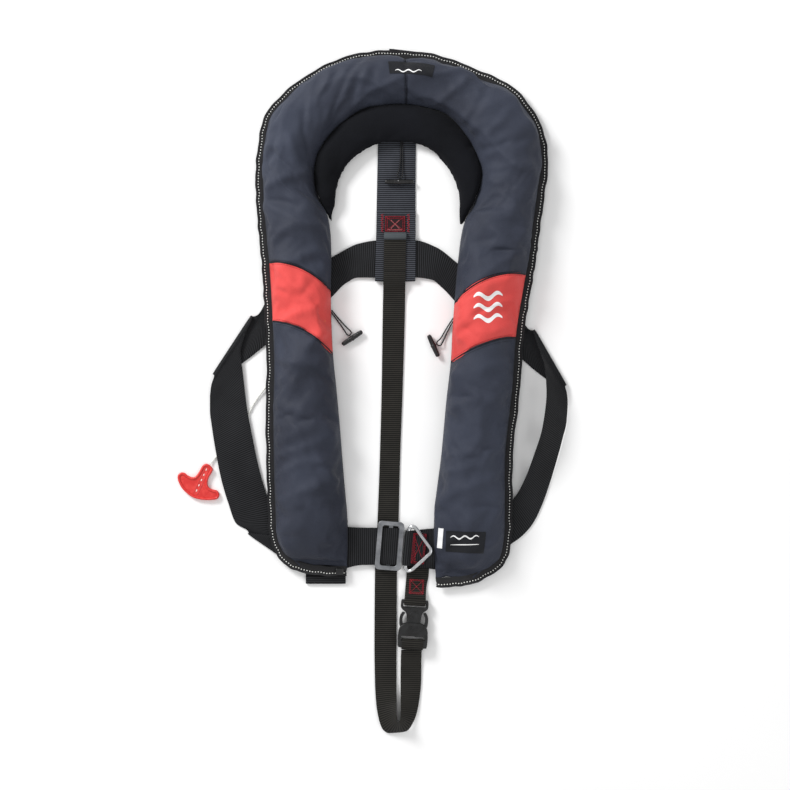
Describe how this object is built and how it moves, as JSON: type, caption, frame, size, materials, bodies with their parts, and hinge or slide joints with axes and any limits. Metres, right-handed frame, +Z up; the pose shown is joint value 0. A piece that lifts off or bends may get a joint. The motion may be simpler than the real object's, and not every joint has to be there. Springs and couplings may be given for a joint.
{
  "type": "inflatable life jacket",
  "caption": "Horseshoe inflatable life jacket laid flat, with a zipped cover over a folded bladder, harness webbing, steel buckle and ring, crotch strap, gas inflator and pull handle.",
  "frame": {"origin": "middle of the footprint, on the surface that the jacket lies on", "axes": "+Z up from that surface through the front of the cover, +Y to the collar, +X to the right as seen from above"},
  "size_m": [0.4518, 0.788, 0.0449],
  "materials": {
    "navy_cloth": "coated nylon cloth",
    "red_cloth": "coated nylon cloth",
    "back_cloth": "plain cloth",
    "pad_cloth": "soft brushed jersey",
    "bladder_cloth": "coated cloth",
    "zip_tape": "woven tape",
    "zip_teeth": "moulded coil",
    "webbing": "ribbed polyester webbing",
    "polished_steel": "polished stainless",
    "matt_steel": "satin stainless",
    "brass_metal": "satin",
    "black_plastic": "moulded",
    "black_cord": "braided",
    "white_cord": "braided",
    "red_plastic": "moulded satin",
    "yellow_plastic": "moulded",
    "grey_plastic": "moulded",
    "black_rubber": "matt",
    "green_plastic": "moulded",
    "label_cloth": "woven label"
  },
  "bodies": {
    "jacket": {"auto_cartridge": "green_plastic", "back_strap": "webbing", "belt_keeper_left": "webbing", "belt_keeper_right": "webbing", "bladder_collar": "bladder_cloth", "bladder_left": "bladder_cloth", "bladder_right": "bladder_cloth", "collar_label": "label_cloth", "collar_loop": "webbing", "cover_back_panel": "back_cloth", "cover_chest_left": "red_cloth", "cover_chest_right": "red_cloth", "cover_collar_left": "navy_cloth", "cover_collar_right": "navy_cloth", "cover_lower_left": "navy_cloth", "cover_lower_right": "navy_cloth", "crotch_strap": "webbing", "crotch_tab": "webbing", "firing_spring": "polished_steel", "inflator_body": "grey_plastic", "lever_pin": "polished_steel", "lifting_loop": "webbing", "lobe_label": "label_cloth", "neck_pad": "pad_cloth", "oral_tube": "black_rubber", "oral_valve": "grey_plastic", "side_release_male": "black_plastic", "toggle_back": "black_plastic", "toggle_cord_back": "black_cord", "toggle_cord_left": "black_cord", "toggle_cord_right": "black_cord", "toggle_left": "black_plastic", "toggle_right": "black_plastic", "waist_belt_left": "webbing", "waist_belt_right": "webbing", "whistle": "yellow_plastic", "whistle_cord": "white_cord", "zip_tape_inner": "zip_tape", "zip_tape_outer": "zip_tape", "zip_teeth": "zip_teeth"},
    "ring": {"d_ring": "polished_steel"},
    "slide_buckle": {"belt_slide_buckle": "matt_steel"},
    "clip_lower": {"side_release_female": "black_plastic"},
    "prong_l": {"prong_left": "black_plastic"},
    "prong_r": {"prong_right": "black_plastic"},
    "handle": {"pull_handle": "red_plastic", "pull_lanyard": "white_cord"},
    "lever": {"inflator_lever": "yellow_plastic"},
    "pin": {"firing_pin": "brass_metal"},
    "slider": {"zip_slider": "black_plastic"},
    "oral_cap_body": {"oral_cap": "yellow_plastic"},
    "cylinder": {"gas_cylinder": "matt_steel"},
    "auto_cap_body": {"auto_cap": "yellow_plastic"}
  },
  "joints": [
    {"name": "d_ring_swing", "type": "hinge", "parent": "jacket", "child": "ring", "pos_m": [0.0386, -0.18065, 0.0064], "axis": [-0.0958, -0.9954, 0], "range_deg": [0, 110]},
    {"name": "slide_buckle_adjust", "type": "slide", "parent": "jacket", "child": "slide_buckle", "axis": [-1, 0, 0], "range_m": [0, 0.02]},
    {"name": "clip_release", "type": "slide", "parent": "jacket", "child": "clip_lower", "axis": [-0.0593, -0.9982, 0], "range_m": [0, 0.024], "deforming": ["crotch_strap"]},
    {"name": "prong_left_squeeze", "type": "hinge", "parent": "jacket", "child": "prong_l", "pos_m": [0.03451, -0.25484, 0.0052], "axis": [0, 0, 1], "range_deg": [0, 6], "stiffness_Nm_per_rad": 0.02},
    {"name": "prong_right_squeeze", "type": "hinge", "parent": "jacket", "child": "prong_r", "pos_m": [0.05887, -0.25629, 0.0052], "axis": [0, 0, -1], "range_deg": [0, 6], "stiffness_Nm_per_rad": 0.02},
    {"name": "handle_pull", "type": "slide", "parent": "jacket", "child": "handle", "axis": [-0.58, -0.8146, 0], "range_m": [0, 0.018]},
    {"name": "lever_swing", "type": "hinge", "parent": "jacket", "child": "lever", "pos_m": [-0.0857, 0.04285, 0.0103], "axis": [0, 0, 1], "range_deg": [0, 50.5]},
    {"name": "firing_pin_stroke", "type": "slide", "parent": "jacket", "child": "pin", "axis": [0, -1, 0], "range_m": [0, 0.0041], "deforming": ["firing_spring"]},
    {"name": "zip_slider_run", "type": "slide", "parent": "jacket", "child": "slider", "axis": [-0.9993, 0.0366, 0], "range_m": [0, 0.018]},
    {"name": "oral_cap_pull", "type": "slide", "parent": "jacket", "child": "oral_cap_body", "axis": [0, -1, 0], "range_m": [0, 0.01]},
    {"name": "cylinder_unscrew", "type": "slide", "parent": "jacket", "child": "cylinder", "axis": [0, -1, 0], "range_m": [0, 0.011]},
    {"name": "auto_cap_unscrew", "type": "slide", "parent": "jacket", "child": "auto_cap_body", "axis": [0, 1, 0], "range_m": [0, 0.012]}
  ],
  "couplings": [
    {"joint": "prong_right_squeeze", "follows": "prong_left_squeeze", "ratio": 1},
    {"joint": "lever_swing", "follows": "handle_pull", "rad_per_m": 48.5},
    {"joint": "firing_pin_stroke", "follows": "handle_pull", "ratio": 0.222}
  ]
}
